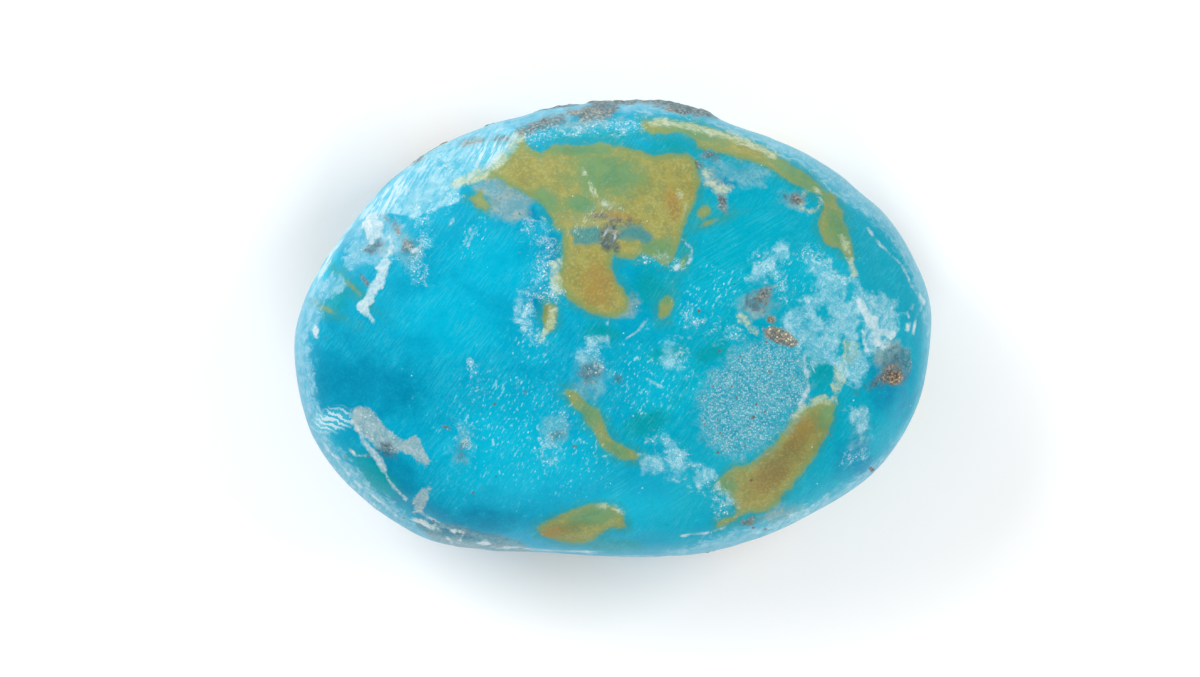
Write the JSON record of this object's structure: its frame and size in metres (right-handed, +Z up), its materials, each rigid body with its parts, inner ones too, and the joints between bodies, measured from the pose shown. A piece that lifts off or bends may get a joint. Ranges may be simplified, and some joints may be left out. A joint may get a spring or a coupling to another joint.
{
  "type": "raw turquoise nugget",
  "caption": "Raw turquoise nugget, an oval pebble ground by hand, with ochre host-rock patches on its face and a flat back to lie on.",
  "frame": {"origin": "middle of the stone's bounding box, on the surface that it lies on", "axes": "+Z up out of the stone's face, +X along its length towards the end that is on the right in the picture, +Y across it towards the top of the picture"},
  "size_m": [0.032, 0.0228, 0.0126],
  "materials": {
    "turquoise": "waxy, hand-ground polish with fine scratches, ochre and green host-rock patches, and rough brown-grey rock on the rim"
  },
  "bodies": {
    "root": {"nugget": "turquoise"}
  },
  "joints": []
}
